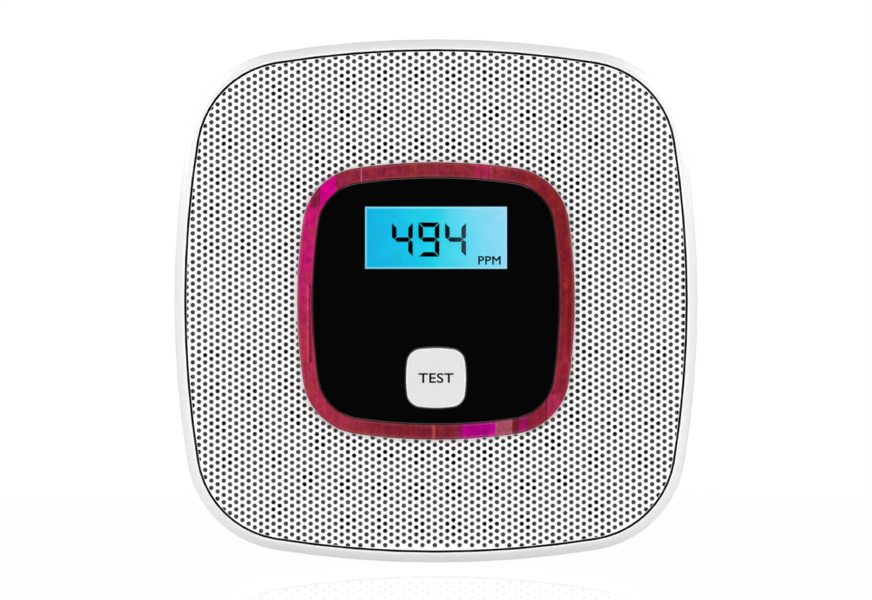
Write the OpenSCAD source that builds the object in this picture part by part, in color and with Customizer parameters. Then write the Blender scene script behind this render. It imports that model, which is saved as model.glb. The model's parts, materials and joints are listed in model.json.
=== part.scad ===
// Battery carbon monoxide alarm on a twist-lock wall bracket.
//
// Every piece is drawn on its back, with x to the right, y up and z outward
// from the wall, and upright() then stands it against a vertical wall: the
// wall is the plane y = 0, the front faces -Y and the top is +Z. The origin
// is the centre of the bracket's wall face, which is also the twist axis.
// Lengths are in millimetres and angles in degrees.

/* [Body] */
// Width and height over the housing
body_w = 110; // [109.5:0.1:111]
// Radius of the gentle bulge of each side
side_r = 213; // [205:1:230]
// Radius of the outline's corners
corner_r = 22.2; // [21.5:0.1:23]
// Thickness of the housing walls
wall_t = 2; // [1.9:0.05:2.1]
// Width of the rim that shows around the grille
rim_w = 2.8; // [2.7:0.05:3]

/* [Grille] */
// Distance between neighbouring perforations
pitch = 1.5; // [1.4:0.05:1.8]
// Diameter of one perforation
perforation_d = 1; // [0.8:0.05:1.05]
// Thickness of the perforated sheet
sheet_t = 0.8; // [0.6:0.1:0.9]
// Diameter of the vents in the cover behind the sheet
vent_d = 3.6; // [3:0.1:3.7]

/* [Front panel] */
// Width of the light ring
ring_w = 58; // [57.8:0.1:58.4]
// Width of the ring's visible band
ring_band = 3.15; // [3.05:0.05:3.25]
// Width of the display window
window_w = 29.5; // [28:0.1:30.5]
// Height of the display window
window_h = 12.8; // [12:0.1:13.5]
// Height of the window's centre above the middle
window_y = 13.2; // [12.8:0.1:13.4]
// Width of the test button
button_w = 12.5; // [12:0.1:13]
// Height of the button's centre, below the middle
button_y = -16.1; // [-16.8:0.1:-16]
// Travel of the test button
button_travel = 0.6; // [0.3:0.05:0.6]

/* [Batteries] */
// Diameter of one cell
cell_d = 14.2; // [13.8:0.1:14.3]
// Length of one cell with its positive nub
cell_l = 50; // [49.5:0.1:50.4]
// Distance between the cells' axes
cell_pitch = 14.75; // [14.6:0.05:14.8]

/* [Wall bracket] */
// Outside diameter of the bracket
bracket_d = 96; // [94:1:96]
// Thickness of the bracket's plate
bracket_t = 2.5; // [2.3:0.1:2.6]
// Distance between the two wall screws
screw_spacing = 60; // [58:1:62]
// Width of each screw slot
screw_slot_w = 4.4; // [4:0.1:5]
// Length of each screw slot, end to end
screw_slot_l = 9; // [8:0.5:10]
// Turn that frees the alarm from its bracket
twist = 12; // [11:1:12]

/* [Hidden] */
$fn = 48;
eps = 0.1;          // how far a cutter runs past the face that it opens
side_steps = 8;     // straight steps along each side of an outline
corner_steps = 10;  // straight steps round each corner of an outline

// Outlines, each [half width, side radius, corner radius]
body = [body_w / 2, side_r, corner_r];
ring = [ring_w / 2, 2 * ring_w, 12.9];
button = [button_w / 2, 25, 2.9];

// Depths from the wall
back_z = 3;          // back face of the rear housing
bend_z = 12;         // where the rear edge starts to round
split_z = 20;        // parting line of the housing
shoulder_z = 31;     // where the front edge starts to round
plate_z = 32.6;      // inner face of the cover's front wall
recess_z = 34.6;     // floor of the recess under the grille
sheet_z = 35.2;      // underside of the grille
rim_z = 36.2;        // front edge of the rim
panel_z = 35.4;      // back of the display panel
panel_front_z = 37.4;
button_front_z = 38.2;
gasket_z = 34.85;    // foam frame between the panel and the glass
gasket_t = 0.5;
glass_z = 33.75;     // back of the display's front glass
glass_t = 1.05;
rear_glass_z = 32.65;
backlight_z = 29.4;
backlight_front_z = 32.6;
chassis_z = 28;
chassis_front_z = 33.6;
guide_z = 29.8;      // back of the bridge that guides the button's stem
flange_z = 33.9;     // back of the button's retaining flange
stem_z = 28.95;      // end of the button's stem
plunger_z = 27.2;
plunger_l = 1.7;
pcb_z = 23;          // back of the circuit board
pcb_t = 1.6;
board_z = pcb_z + pcb_t;
part_z = board_z + 0.05; // where parts start that stand on the board

// Housing
rear_round = 5;      // how far the back face is set in from the sides
inner_round_less = 0.8; // how much less its inside is set in
bend_step = 18;      // step of the rounded edges, in degrees
split_gap = 0.3;     // shadow line between the two halves
lip_in = 2.1;        // how far the rim's crest is set in from the sides
recess_in = 2.3;     // inset of the recess wall
rim_flatness = 1.6;  // 1 is a quarter ellipse, 2 a straight chamfer
recess_ledge = 1.1;  // width of the ledge that the grille's edge lies on
tongue_in = 1.1;     // inset of the tongue along the parting line
tongue_l = 1.4;
tongue_play = 0.2;
case_post = 38.5;    // x and y of the four case screws
pcb_post = [27, 42.5];
ring_gap = 0.15;     // play around the light ring

// Battery bay
bay_half_w = 22.4;
bay_top = 27;
bay_bottom = -29.4;
bay_z = 20;          // bay's inner ceiling
bay_wall = 1.8;
cell_z = 12.4;       // depth of the cells' axes
plate_metal = 0.4;   // thickness of the contact plates
nub_l = 1.3;
dimple_h = 1;
spring_l = 4.6;      // length of a contact spring under its cell

// Battery door
door_half_w = 23.9;
door_t = 1.8;
door_top = 28.2;
rail_half_w = 25.4;
rail_z = 5.4;
rail_top_z = 6.4;
ledge_z = 6.8;       // housing ledge that the rails run under
tab_half = 1.3;      // half the width of each of the door's top tabs
tab_l = 2;           // how far a tab reaches past the bay

// Bayonet
hook_r = 42;         // inner radius of the hooks
hook_t = 2;
hook_half = 5;       // half of a hook's width, in degrees
hook_top_z = 6.9;
hook_lip_z = 5.5;
hook_angles = [90, 210, 330];

// Sound and sensing
sounder_x = 42;      // distance of the speaker and of the siren from the middle
sounder_r = 9;
sensor_y = 40;
sensor_r = 7;

// Vent rows, each [half width of the row, number of vents]
vent_rows = [[32.8, 32], [39.9, 36], [47.3, 44]];

// ---------------------------------------------------------------- outlines

// Place of the corner arcs' centres, where side and corner arcs are tangent
function corner_at(s) = (s[0] - s[1] + sqrt(2 * pow(s[1] - s[2], 2) - pow(s[1] - s[0], 2))) / 2;
// Half angle that a side arc turns through
function side_turn(s) = atan2(corner_at(s), corner_at(s) + s[1] - s[0]);
function arc_point(c, r, a) = [c.x + r * cos(a), c.y + r * sin(a)];
function turned(p, a) = [p.x * cos(a) - p.y * sin(a), p.x * sin(a) + p.y * cos(a)];
function inset(s, d) = [s[0] - d, s[1] - d, s[2] - d];

function quarter_point(s, i) =
    let (k = corner_at(s), a = side_turn(s))
    i < side_steps
        ? arc_point([s[0] - s[1], 0], s[1], -a + 2 * a * i / side_steps)
        : arc_point([k, k], s[2], a + (90 - 2 * a) * (i - side_steps) / corner_steps);

// A square with bulging sides and round corners, as points
function pillow(s) = [
    for (q = [0:3]) for (i = [0:side_steps + corner_steps - 1]) turned(quarter_point(s, i), 90 * q)
];

// The point at length u along the outline, from the middle of the right side
function pillow_at(s, u) =
    let (
        k = corner_at(s),
        a = side_turn(s),
        half_side = s[1] * a * PI / 180,
        corner = s[2] * (90 - 2 * a) * PI / 180,
        quarter = 2 * half_side + corner,
        q = floor(u / quarter),
        v = u - q * quarter
    )
    turned(
        v < half_side ? arc_point([s[0] - s[1], 0], s[1], v / s[1] * 180 / PI)
        : v < half_side + corner ? arc_point([k, k], s[2], a + (v - half_side) / s[2] * 180 / PI)
        : arc_point([0, s[0] - s[1]], s[1], 90 - (quarter - v) / s[1] * 180 / PI),
        90 * q
    );
function pillow_length(s) =
    4 * (2 * s[1] * side_turn(s) + s[2] * (90 - 2 * side_turn(s))) * PI / 180;

// ------------------------------------------------------------ shared solids

// Stands a piece that was drawn on its back against the wall
module upright() {
    rotate([90, 0, 0]) children();
}

module at(p, z) {
    translate([p.x, p.y, z]) children();
}

// A flat plate with a pillow outline, from z0 to z1
module pillow_plate(s, z0, z1) {
    translate([0, 0, z0]) linear_extrude(z1 - z0) polygon(pillow(s));
}

// A solid through pillow outlines, each [inset, z], from the back to the front
module pillow_loft(s, levels) {
    n = 4 * (side_steps + corner_steps);
    m = len(levels);
    points = [for (l = levels) for (p = pillow(inset(s, l[0]))) [p.x, p.y, l[1]]];
    caps = [[for (i = [0:n - 1]) i], [for (i = [n - 1:-1:0]) (m - 1) * n + i]];
    sides = [
        for (j = [0:m - 2]) for (i = [0:n - 1])
            [j * n + i, (j + 1) * n + i, (j + 1) * n + (i + 1) % n, j * n + (i + 1) % n]
    ];
    polyhedron(points, concat(caps, sides));
}

// A closed band: the profile, [inset, z] points, carried round the outline
module pillow_band(s, profile) {
    n = 4 * (side_steps + corner_steps);
    m = len(profile);
    points = [for (l = profile) for (p = pillow(inset(s, l[0]))) [p.x, p.y, l[1]]];
    faces = [
        for (j = [0:m - 1]) for (i = [0:n - 1])
            let (k = (j + 1) % m)
            [j * n + i, k * n + i, k * n + (i + 1) % n, j * n + (i + 1) % n]
    ];
    polyhedron(points, faces);
}

// A box from corner to corner
module block(a, b) {
    translate(a) cube(b - a);
}

// An arc of a ring, from radius r0 to r1 and from angle a0 to a1
module ring_arc(r0, r1, a0, a1, z0, z1) {
    rotate([0, 0, a0]) translate([0, 0, z0]) rotate_extrude(angle = a1 - a0)
        translate([r0, 0]) square([r1 - r0, z1 - z0]);
}

// A tube along a route. up is any direction that the route never takes
module tube(route, d, up, sides = 8) {
    m = len(route);
    function unit(v) = v / norm(v);
    points = [
        for (i = [0:m - 1])
            let (
                t = unit(route[min(i + 1, m - 1)] - route[max(i - 1, 0)]),
                u = unit(cross(t, up)),
                v = cross(u, t)
            )
            for (k = [0:sides - 1])
                let (a = 360 * k / sides)
                route[i] + d / 2 * (u * cos(a) + v * sin(a))
    ];
    skin = [
        for (i = [0:m - 2]) for (k = [0:sides - 1])
            let (a = i * sides, b = (k + 1) % sides)
            [a + k, a + b, a + sides + b, a + sides + k]
    ];
    caps = [[for (k = [sides - 1:-1:0]) k], [for (k = [0:sides - 1]) (m - 1) * sides + k]];
    polyhedron(points, concat(skin, caps));
}

// A point on the smooth curve through four route points, between b and c
function between(a, b, c, d, t) =
    0.5 * (2 * b + (c - a) * t + (2 * a - 5 * b + 4 * c - d) * t * t + (3 * b - a - 3 * c + d) * t * t * t);
// A route with three smooth steps between each two of its points
function smooth_route(r) = let (m = len(r)) [
    for (i = [0:m - 2]) for (t = [0, 1 / 3, 2 / 3])
        between(r[max(i - 1, 0)], r[i], r[i + 1], r[min(i + 2, m - 1)], t),
    r[m - 1],
];

module four_corners(x, y) {
    for (i = [-1, 1]) for (j = [-1, 1]) translate([i * x, j * y, 0]) children();
}

// A pan-head screw with its head's top at z0, pointing away from the wall
module pan_screw(head_r, head_h, shank_r, shank_l) {
    slot_w = head_r * 0.35;
    difference() {
        cylinder(h = head_h, r = head_r);
        for (a = [0, 90]) rotate([0, 0, a])
            block([-head_r * 0.6, -slot_w / 2, -eps], [head_r * 0.6, slot_w / 2, head_h * 0.55]);
    }
    translate([0, 0, head_h - 0.02]) cylinder(h = shank_l - shank_r, r = shank_r);
    translate([0, 0, head_h + shank_l - shank_r - 0.04])
        cylinder(h = shank_r, r1 = shank_r, r2 = shank_r * 0.3);
}

// ------------------------------------------------------------- wall bracket

module stadium(l, w, z0, z1) {
    for (i = [-1, 1]) translate([i * (l - w) / 2, 0, z0]) cylinder(h = z1 - z0, r = w / 2);
    block([-(l - w) / 2, -w / 2, z0], [(l - w) / 2, w / 2, z1]);
}

module bracket_hook(a) {
    ring_arc(hook_r, hook_r + hook_t, a - hook_half, a + hook_half, bracket_t - 0.5, hook_top_z);
    ring_arc(hook_r + 0.5, hook_r + 2 * hook_t, a - hook_half, a + hook_half, hook_lip_z, hook_top_z);
}

module wall_bracket() {
    bar_half = 13;
    window_r = 36;
    head_w = 8.8;
    color("whitesmoke") upright() {
        difference() {
            union() {
                cylinder(h = bracket_t - 0.4, d = bracket_d);
                translate([0, 0, bracket_t - 0.5])
                    cylinder(h = 0.5, d1 = bracket_d, d2 = bracket_d - 1);
            }
            for (i = [-1, 1]) intersection() {
                translate([0, 0, -eps]) cylinder(h = bracket_t + 2 * eps, r = window_r);
                translate([0, i * (bar_half + window_r / 2), bracket_t / 2])
                    cube([2 * window_r, window_r, bracket_t + 4 * eps], center = true);
            }
            for (i = [-1, 1]) translate([i * screw_spacing / 2, 0, 0]) {
                stadium(screw_slot_l, screw_slot_w, -eps, bracket_t + eps);
                stadium(screw_slot_l + head_w - screw_slot_w, head_w, bracket_t - 1, bracket_t + eps);
            }
            block([-19, -9, 1.6], [19, 9, bracket_t + eps]);
            translate([0, -40.5, bracket_t - 0.5]) linear_extrude(1)
                polygon([[-3, -1.5], [3, -1.5], [0, 2.5]]);
        }
        for (a = hook_angles) bracket_hook(a);
    }
}

// ------------------------------------------------------------ rear housing

rear_outside = [
    for (t = [90:-bend_step:0]) [rear_round * (1 - cos(t)), bend_z - (bend_z - back_z) * sin(t)],
    [0, split_z - split_gap],
];
rear_inside = [
    for (t = [90:-bend_step:0])
        [
            wall_t + (rear_round - inner_round_less) * (1 - cos(t)),
            bend_z - (bend_z - back_z - wall_t) * sin(t),
        ],
    [wall_t, split_z - tongue_l - tongue_play],
    [tongue_in - tongue_play / 2, split_z - tongue_l - tongue_play],
    [tongue_in - tongue_play / 2, split_z + 1],
];

// Block that the bay is hollowed from, and the shelf behind the door's lower end
module bay_blocks() {
    w = bay_half_w + bay_wall;
    block([-w, bay_bottom - bay_wall, ledge_z], [w, bay_top + bay_wall, bay_z + 1.3]);
    block([-27.2, -53, ledge_z], [27.2, bay_bottom, ledge_z + 1.4]);
    for (i = [-1, 1]) block(
        [min(i * bay_half_w, i * 27.2), -52, 4.5],
        [max(i * bay_half_w, i * 27.2), bay_top + bay_wall, ledge_z + 1.4]
    );
    block([-w, bay_top, 4.5], [w, bay_top + bay_wall, ledge_z + 1]);
}

module bay_hollow() {
    block([-bay_half_w, bay_bottom, 2], [bay_half_w, bay_top, bay_z]);
    // the door's opening, its rail channels and the way out at the bottom
    block([-door_half_w - 0.3, -60, 2], [door_half_w + 0.3, door_top + 0.3, back_z + door_t + 0.3]);
    block([-rail_half_w - 0.4, -60, back_z + wall_t], [rail_half_w + 0.4, bay_top + 0.6, ledge_z]);
    // pockets for the door's two top tabs, which pass between the cells
    for (i = [-1, 1]) translate([i * cell_pitch / 2, 0, 0])
        block(
            [-tab_half - 0.4, bay_top, back_z + wall_t],
            [tab_half + 0.4, bay_top + tab_l + 0.8, ledge_z]
        );
    // slots for the terminals' solder tags
    block([-cell_pitch - 2, bay_top - eps, 9], [-cell_pitch + 2, bay_top + bay_wall + eps, 16]);
    block([cell_pitch - 2, bay_bottom - bay_wall - eps, 9], [cell_pitch + 2, bay_bottom + eps, 16]);
}

module hook_slots() {
    reach = hook_half + 0.6;
    for (a = hook_angles) {
        ring_arc(hook_r - 0.5, hook_r + hook_t + 0.5, a - twist - reach, a + reach, 2, 6);
        ring_arc(hook_r, hook_r + 2 * hook_t + 0.6, a - twist - reach, a - twist + reach, 2, 6);
    }
}

module rear_housing() {
    post_r = 4;
    color("white") upright() difference() {
        union() {
            difference() {
                pillow_loft(body, rear_outside);
                pillow_loft(body, rear_inside);
            }
            bay_blocks();
            four_corners(case_post, case_post) translate([0, 0, back_z + 1]) cylinder(h = 8, r = post_r);
        }
        bay_hollow();
        hook_slots();
        four_corners(case_post, case_post) {
            translate([0, 0, back_z - 1]) cylinder(h = 8, r = 3);
            translate([0, 0, back_z]) cylinder(h = 12, r = 1.5);
        }
    }
}

// ------------------------------------------------------------- battery door

module battery_door() {
    grip_pitch = 2.2;
    color("white") upright() difference() {
        union() {
            intersection() {
                block([-door_half_w, -60, back_z - 1], [door_half_w, door_top, back_z + door_t]);
                pillow_loft(body, rear_outside);
            }
            // end block that closes the rails' way out
            intersection() {
                block([-rail_half_w, -60, back_z + door_t + 0.5], [rail_half_w, -48, rail_top_z]);
                pillow_loft(body, rear_outside);
            }
            block([-door_half_w, -51, back_z + door_t - 0.2], [door_half_w, -48, rail_top_z - 0.2]);
            for (i = [-1, 1]) {
                block(
                    [min(i * 22.8, i * door_half_w), -49, back_z + door_t - 0.2],
                    [max(i * 22.8, i * door_half_w), bay_top - 0.3, rail_top_z]
                );
                block(
                    [min(i * 23, i * rail_half_w), -49, rail_z],
                    [max(i * 23, i * rail_half_w), bay_top - 0.3, rail_top_z]
                );
            }
            for (i = [-1, 1]) translate([i * cell_pitch / 2, 0, 0]) {
                block(
                    [-tab_half, bay_top - 3, back_z + door_t - 0.2],
                    [tab_half, bay_top - 0.6, rail_top_z]
                );
                block([-tab_half, bay_top - 3, rail_z], [tab_half, bay_top + tab_l, rail_top_z]);
            }
        }
        for (i = [0:4]) block([-9, -46 + i * grip_pitch, 2], [9, -45 + i * grip_pitch, back_z + 0.6]);
    }
}

// -------------------------------------------------------------- front cover

front_outside = [
    [tongue_in, split_z - tongue_l],
    [tongue_in, split_z],
    [0, split_z],
    for (t = [0:bend_step:90])
        [
            lip_in * (1 - pow(cos(t), rim_flatness)),
            shoulder_z + (rim_z - shoulder_z) * pow(sin(t), rim_flatness),
        ],
];

vents = [
    for (row = vent_rows) for (i = [0:row[1] - 1])
        let (
            s = [row[0], 4 * row[0], 0.44 * row[0]],
            p = pillow_at(s, (i + 0.5) * pillow_length(s) / row[1])
        )
        if (norm([abs(p.x) - case_post, abs(p.y) - case_post]) > 3.4 + vent_d / 2
            && norm([abs(p.x), abs(p.y)] - pcb_post) > 2.6 + vent_d / 2)
        p
];

module sounder_well(x) {
    translate([x, 0, 28.6]) difference() {
        cylinder(h = plate_z + 0.4 - 28.6, r = sounder_r + 1.2);
        translate([0, 0, -eps]) cylinder(h = plate_z - 28.6 + eps, r = sounder_r + 0.15);
    }
}

module front_cover() {
    color("white") upright() {
        difference() {
            pillow_loft(body, front_outside);
            pillow_plate(inset(body, wall_t), split_z - 5, plate_z);
            pillow_plate(inset(body, recess_in), sheet_z, rim_z + 1);
            difference() {
                pillow_plate(inset(body, recess_in + recess_ledge), recess_z, sheet_z + eps);
                pillow_plate(inset(ring, -recess_ledge), recess_z - eps, sheet_z + 1);
            }
            pillow_plate(inset(ring, -ring_gap), plate_z - 1, rim_z + 1);
            for (p = vents) at(p, plate_z - 1) cylinder(h = 4, d = vent_d);
        }
        four_corners(case_post, case_post) difference() {
            translate([0, 0, 12.3]) cylinder(h = plate_z + 0.5 - 12.3, r = 3.2);
            translate([0, 0, 12]) cylinder(h = 14, r = 1.3);
        }
        four_corners(pcb_post.x, pcb_post.y) difference() {
            translate([0, 0, part_z]) cylinder(h = plate_z + 0.5 - board_z, r = 2.6);
            translate([0, 0, board_z]) cylinder(h = 6, r = 1);
        }
        for (x = [-sounder_x, sounder_x]) sounder_well(x);
    }
}

// ------------------------------------------------------------------- grille

// The perforations that lie over a vent, on the sheet's staggered grid
column = pitch * cos(30);
grid_start = [-0.24, 1.38];
open_perforations = [
    for (v = vents) for (di = [-2:2]) for (dj = [-2:2])
        let (
            w = v - grid_start,
            i = round(w.x / column) + di,
            shift = i % 2 == 0 ? 0 : 0.5,
            p = grid_start + [i * column, (round(w.y / pitch - shift) + dj + shift) * pitch]
        )
        if (norm(p - v) < (vent_d - perforation_d) / 2 + 0.25) p
];

module front_grille() {
    color("white") upright() difference() {
        pillow_plate(inset(body, rim_w), sheet_z, sheet_z + sheet_t);
        pillow_plate(inset(ring, -ring_gap), sheet_z - 1, sheet_z + 2);
        for (p = open_perforations) at(p, sheet_z - 1) cylinder(h = 3, d = perforation_d);
    }
}

// -------------------------------------------------------------- front panel

module light_ring() {
    shelf = ring_band + 1.75;
    color("crimson") upright() pillow_band(ring, [
        [-2, 31],
        [-2, 32.4],
        [0, 32.4],
        [0, 36.4],
        [0.35, 36.95],
        [1.1, 37.2],
        [2.5, 37.3],
        [ring_band, 37.1],
        [ring_band, 35.3],
        [shelf, 35.3],
        [shelf, 33.8],
        [ring_band + 0.45, 33.8],
        [ring_band + 0.45, 31],
    ]);
}

module display_panel() {
    edge = ring_band + 0.1;
    color("black") upright() difference() {
        pillow_loft(ring, [
            [edge, panel_z],
            [edge, panel_front_z - 0.4],
            [edge + 0.12, panel_front_z - 0.12],
            [edge + 0.4, panel_front_z],
        ]);
        translate([0, window_y, panel_z]) cube([window_w + 0.2, window_h + 0.2, 6], center = true);
        translate([0, button_y, 0]) pillow_plate(inset(button, -0.2), panel_z - 1, panel_front_z + 1);
    }
}

module window_block(w, h, z0, z1) {
    translate([-w / 2, window_y - h / 2, z0]) cube([w, h, z1 - z0]);
}

module lcd_window() {
    color("lightcyan", 0.4) upright() window_block(window_w, window_h, panel_z, panel_front_z - 0.1);
}

glass_w = 35;
glass_h = 17;
glass_ledge = 2.4;

module lcd_gasket() {
    color("dimgray") upright() difference() {
        window_block(glass_w, glass_h, gasket_z, gasket_z + gasket_t);
        window_block(window_w + 0.8, window_h + 0.8, gasket_z - 1, gasket_z + 1);
    }
}

module lcd_front_glass() {
    color("deepskyblue") upright() window_block(glass_w, glass_h, glass_z, glass_z + glass_t);
}

module lcd_rear_glass() {
    color("lightblue") upright()
        translate([-glass_w / 2, window_y - glass_h / 2 - glass_ledge, rear_glass_z])
            cube([glass_w, glass_h + glass_ledge, glass_t]);
}

module lcd_backlight() {
    color("azure") upright() {
        window_block(33.4, 15.4, backlight_z, backlight_front_z);
        for (i = [-1, 1]) translate([i * 17.1 - 0.6, window_y - 1.5, 29.8]) cube([1.2, 3, 1.8]);
    }
}

// Elastomer strip that joins the glass's ledge to the board
module lcd_connector() {
    y = window_y - glass_h / 2 - glass_ledge + 0.2;
    color("lightpink") upright() block([-15, y, part_z], [15, y + 1.8, backlight_front_z]);
}

module display_chassis() {
    bottom = window_y - glass_h / 2 - glass_ledge - 1.4;
    top = window_y + glass_h / 2 + 1.3;
    half = glass_w / 2 + 1.7;
    strip_y = window_y - glass_h / 2 - glass_ledge + 0.1;
    color("dimgray") upright() difference() {
        union() {
            block([-half, bottom, chassis_z], [half, top, chassis_front_z]);
            for (i = [-1, 1]) for (y = [bottom + 1.4, top - 1.4])
                translate([i * (half - 1.4), y, part_z]) cylinder(h = 4, r = 1.3);
            block([-9, button_y - 6, guide_z], [9, bottom + 1, guide_z + 1.2]);
            for (i = [-1, 1]) translate([i * 7.4, button_y - 4.4, part_z]) cylinder(h = 6, r = 1.3);
            translate([0, button_y, guide_z]) cylinder(h = 3.2, r = 3);
        }
        window_block(glass_w + 0.3, glass_h + 0.3, 33.72, 36);
        translate([-glass_w / 2 - 0.15, window_y - glass_h / 2 - glass_ledge - 0.15, 32.62])
            cube([glass_w + 0.3, glass_h + glass_ledge + 0.3, 3]);
        window_block(35.8, 15.8, 29.3, 34);
        block([-15.2, strip_y - 0.1, 24], [15.2, strip_y + 2.1, 34]);
        translate([0, button_y, 26]) cylinder(h = 9, r = 1.7);
    }
}

// -------------------------------------------------------------- test button

module test_button() {
    color("gainsboro") upright() translate([0, button_y, 0]) {
        pillow_loft(button, [
            [0, 34.6],
            [0, button_front_z - 0.55],
            [0.16, button_front_z - 0.16],
            [0.55, button_front_z],
        ]);
        pillow_plate(inset(button, -0.8), flange_z, flange_z + 1.3);
        translate([0, 0, stem_z]) cylinder(h = 5.5, r = 1.6);
    }
}

module tact_switch() {
    color("silver") upright() translate([0, button_y, 0]) difference() {
        union() {
            block([-3, -3, part_z], [3, 3, 28.1]);
            for (i = [-1, 1]) for (j = [-1, 1])
                translate([i * 3.4, j * 2.2, part_z + 0.15]) cube([1.2, 0.7, 0.3], center = true);
        }
        translate([0, 0, 26.4]) cylinder(h = 3, r = 1.85);
    }
}

module switch_plunger() {
    color("black") upright() translate([0, button_y, plunger_z]) cylinder(h = plunger_l, r = 1.78);
}

// ------------------------------------------------------------ circuit board

module main_pcb() {
    half_w = 30.2;
    half_h = 46.5;
    cut = 5;
    color("darkgreen") upright() difference() {
        translate([0, 0, pcb_z]) linear_extrude(pcb_t) polygon([
            for (q = [[1, 1], [-1, 1], [-1, -1], [1, -1]])
                each (q.x * q.y > 0
                    ? [[q.x * half_w, q.y * (half_h - cut)], [q.x * (half_w - cut), q.y * half_h]]
                    : [[q.x * (half_w - cut), q.y * half_h], [q.x * half_w, q.y * (half_h - cut)]])
        ]);
        four_corners(pcb_post.x, pcb_post.y) translate([0, 0, pcb_z - 1]) cylinder(h = 4, r = 1.15);
    }
}

// A chip body with gull-wing legs along its two long sides
module chip(w, l, h, pins) {
    difference() {
        block([-w / 2, -l / 2, 0.15], [w / 2, l / 2, h]);
        translate([-w / 2 + 1, l / 2 - 1, h - 0.15]) cylinder(h = 1, r = 0.4);
    }
    for (i = [-1, 1]) for (k = [0:pins - 1])
        translate([i * (w / 2 + 0.45), (k - (pins - 1) / 2) * 1.27, 0.25])
            cube([1.1, 0.45, 0.5], center = true);
}

module mcu_chip() {
    color("darkslategray") upright() translate([-19, -10, board_z + 0.02]) chip(7.5, 13, 2.2, 10);
}

module voice_chip() {
    color("darkslategray") upright() translate([18.5, -9, board_z + 0.02]) chip(4, 5.4, 1.6, 4);
}

// Resistors and capacitors beside the chips
smd_places = [
    [-19, 0], [-15.5, 0], [-22.5, 0], [-19, -20], [-15, -20], [-23, -20],
    [18.5, -3], [22.5, -3], [14.5, -3], [14, -15], [18, -15], [22, -15],
    [-12, 33], [-12, 37], [12, 33], [12, 37], [-14, -36], [-10, -36], [-6, -36], [-2, -36],
];

module smd_parts() {
    color("burlywood") upright() for (p = smd_places) at(p, board_z + 0.02) {
        block([-0.65, -0.62, 0], [0.65, 0.62, 0.5]);
        for (i = [-1, 1]) block([min(i * 0.6, i), -0.65, 0], [max(i * 0.6, i), 0.65, 0.55]);
    }
}

module electrolytic_caps() {
    color("silver") upright() for (p = [[-20, -34], [20, -34]]) at(p, board_z + 0.02) {
        block([-3.3, -3.3, 0], [3.3, 3.3, 0.6]);
        translate([0, 0, 0.5]) cylinder(h = 4.6, r = 3.1);
        translate([0, 0, 5.05]) cylinder(h = 0.5, r1 = 3.1, r2 = 2.7);
    }
}

// Eight light-emitting diodes under the ring
led_places = [for (i = [-1, 1]) for (j = [-1, 1]) each [[i * 27.6, j * 12.5], [i * 12.5, j * 27.6]]];

module ring_leds() {
    color("ivory") upright() for (p = led_places) at(p, board_z + 0.02) difference() {
        block([-1.4, -1.4, 0], [1.4, 1.4, 1.8]);
        translate([0, 0, 1.4]) cylinder(h = 1, r = 1.1);
    }
}

connector_places = [[-26, 0], [26, 0], [-22, 26]];

module wire_connectors() {
    color("ivory") upright() for (p = connector_places) at(p, board_z + 0.02) difference() {
        block([-2.2, -2.9, 0], [2.2, 2.9, 3.6]);
        for (j = [-1, 1]) translate([0, j * 1.25, 2]) cylinder(h = 3, r = 0.75);
    }
}

// ------------------------------------------------------------ sensor, sound

module co_sensor() {
    color("whitesmoke") upright() translate([0, sensor_y, 0]) {
        translate([0, 0, 25.6]) rotate_extrude() polygon([
            [0, 0], [sensor_r - 0.4, 0], [sensor_r, 0.4], [sensor_r, 4.2],
            [sensor_r - 0.8, 4.8], [5.2, 4.8], [5.2, 5.2], [1.2, 5.2], [1.2, 4.6], [0, 4.6],
        ]);
        for (a = [90, 210, 330]) rotate([0, 0, a])
            translate([4.6, 0, part_z]) cylinder(h = 1.2, r = 0.5);
    }
}

module sensor_filter() {
    color("white") upright() translate([0, sensor_y, 30.85]) cylinder(h = 0.6, r = 4.8);
}

module sensor_seal() {
    color("dimgray") upright() translate([0, sensor_y, 30.45]) difference() {
        cylinder(h = plate_z - 30.5, r = sensor_r - 0.05);
        translate([0, 0, -eps]) cylinder(h = 4, r = 5.35);
    }
}

module siren_housing() {
    color("black") upright() translate([-sounder_x, 0, 0]) difference() {
        translate([0, 0, 25]) rotate_extrude() polygon([
            [0, 0], [sounder_r, 0], [sounder_r, 7.1], [sounder_r - 0.4, 7.5], [0, 7.5],
        ]);
        translate([0, 0, 24]) cylinder(h = 3.1, r = sounder_r - 1);
        translate([0, 0, 27]) cylinder(h = 4.3, r = sounder_r - 1.6);
        translate([0, 0, 30]) cylinder(h = 4, r = 1.5);
    }
}

module siren_base() {
    color("darkgoldenrod") upright() translate([-sounder_x, 0, 25.05]) difference() {
        cylinder(h = 1.5, r = sounder_r - 1.05);
        for (j = [-1, 1]) translate([3, j * 1.5, -1]) cylinder(h = 4, r = 0.7);
    }
}

module piezo_disc() {
    color("gold") upright() translate([-sounder_x, 0, 26.6]) {
        cylinder(h = 0.25, r = sounder_r - 1.1);
        translate([0, 0, 0.2]) cylinder(h = 0.2, r = 5.2);
    }
}

module speaker_basket() {
    color("silver") upright() translate([sounder_x, 0, 0]) rotate_extrude() polygon([
        [7.9, 32.5], [sounder_r, 32.5], [sounder_r, 31], [6.6, 29.7],
        [4.6, 29.7], [4.6, 30.2], [6.4, 30.2], [7.9, 31.3],
    ]);
}

module speaker_cone() {
    color("dimgray") upright() translate([sounder_x, 0, 0]) rotate_extrude() polygon([
        [0, 31.9], [1.2, 31.8], [2.4, 31.2], [3, 30.6], [5.6, 31.4], [6.4, 31.9], [7, 32.05],
        [7.7, 31.7], [7.7, 31.45], [7, 31.8], [6.5, 31.65], [5.7, 31.15], [3, 30.3],
        [2.3, 30.95], [1.1, 31.55], [0, 31.65],
    ]);
}

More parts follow.
